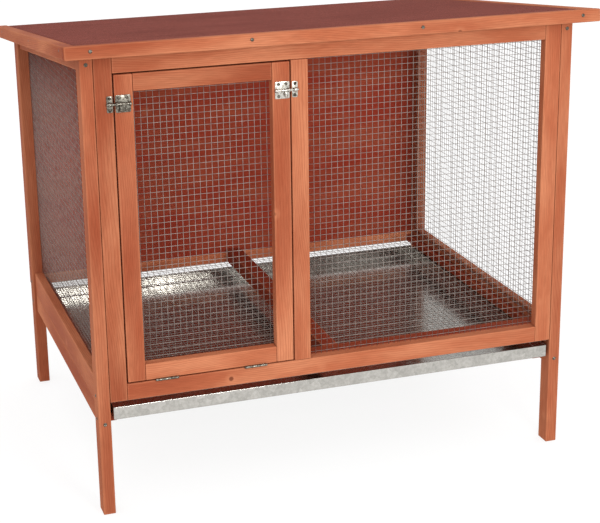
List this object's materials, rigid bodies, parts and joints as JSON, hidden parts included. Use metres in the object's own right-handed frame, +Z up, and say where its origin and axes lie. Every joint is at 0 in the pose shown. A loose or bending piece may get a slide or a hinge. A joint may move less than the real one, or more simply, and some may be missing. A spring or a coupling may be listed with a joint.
{
  "type": "rabbit hutch",
  "caption": "Raised timber rabbit hutch with wire-mesh sides and floor, a drop-down front door with barrel bolts, a pull-out metal tray and a felted roof that slopes to the back.",
  "frame": {"origin": "middle of the roof's footprint, on the ground", "axes": "+X along the front towards the fixed mesh bay, +Y from the front to the back, +Z up"},
  "size_m": [1.116, 0.8645, 0.976],
  "materials": {
    "stained_fir": "orange-red stained softwood, planed",
    "stained_inner_board": "dark red stained softwood and plywood",
    "mineral_felt": "red-brown mineral surfaced bitumen felt",
    "galvanised_sheet": "galvanised sheet with a soft sheen",
    "welded_wire": "galvanised welded wire",
    "zinc_plated_steel": "bright zinc plate"
  },
  "bodies": {
    "hutch": {"post_front_left": "stained_fir", "post_front_right": "stained_fir", "post_rear_left": "stained_fir", "post_rear_right": "stained_fir", "front_stile_left": "stained_fir", "front_stile_middle": "stained_fir", "front_stile_right": "stained_fir", "front_rail_top": "stained_fir", "front_rail_bottom": "stained_fir", "side_rail_top_left": "stained_fir", "side_rail_top_right": "stained_fir", "side_rail_bottom_left": "stained_fir", "side_rail_bottom_right": "stained_fir", "side_apron_left": "stained_fir", "side_apron_right": "stained_fir", "fascia_front": "stained_fir", "fascia_left": "stained_fir", "fascia_right": "stained_fir", "fascia_rear": "stained_fir", "back_rail_bottom": "stained_fir", "tray_runner_left": "stained_inner_board", "tray_runner_right": "stained_inner_board", "floor_batten_left": "stained_inner_board", "floor_batten_right": "stained_inner_board", "floor_batten_front": "stained_inner_board", "floor_bearer": "stained_inner_board", "back_rail_top": "stained_inner_board", "back_panel": "stained_inner_board", "roof_deck": "stained_inner_board", "roof_felt": "mineral_felt", "front_wire_mesh": "welded_wire", "side_wire_mesh_left": "welded_wire", "side_wire_mesh_right": "welded_wire", "floor_wire_mesh": "welded_wire", "hinge_frame_leaf_left": "zinc_plated_steel", "hinge_frame_leaf_right": "zinc_plated_steel", "hinge_pin_left": "zinc_plated_steel", "hinge_pin_right": "zinc_plated_steel", "latch_keeper_left": "zinc_plated_steel", "latch_keeper_right": "zinc_plated_steel"},
    "door": {"door_stile_left": "stained_fir", "door_stile_right": "stained_fir", "door_rail_top": "stained_fir", "door_rail_bottom": "stained_fir", "door_wire_mesh": "welded_wire", "hinge_door_leaf_left": "zinc_plated_steel", "hinge_door_leaf_right": "zinc_plated_steel", "latch_plate_left": "zinc_plated_steel", "latch_plate_right": "zinc_plated_steel"},
    "tray": {"tray": "galvanised_sheet"},
    "left_bolt": {"latch_bolt_left": "zinc_plated_steel"},
    "right_bolt": {"latch_bolt_right": "zinc_plated_steel"}
  },
  "joints": [
    {"name": "door_hinge", "type": "hinge", "parent": "hutch", "child": "door", "pos_m": [-0.2875, -0.4046, 0.2825], "axis": [1, 0, 0], "range_deg": [0, 90]},
    {"name": "tray_slide", "type": "slide", "parent": "hutch", "child": "tray", "axis": [0, -1, 0], "range_m": [0, 0.45]},
    {"name": "left_bolt_slide", "type": "slide", "parent": "door", "child": "left_bolt", "axis": [1, 0, 0], "range_m": [0, 0.014]},
    {"name": "right_bolt_slide", "type": "slide", "parent": "door", "child": "right_bolt", "axis": [-1, 0, 0], "range_m": [0, 0.014]}
  ]
}
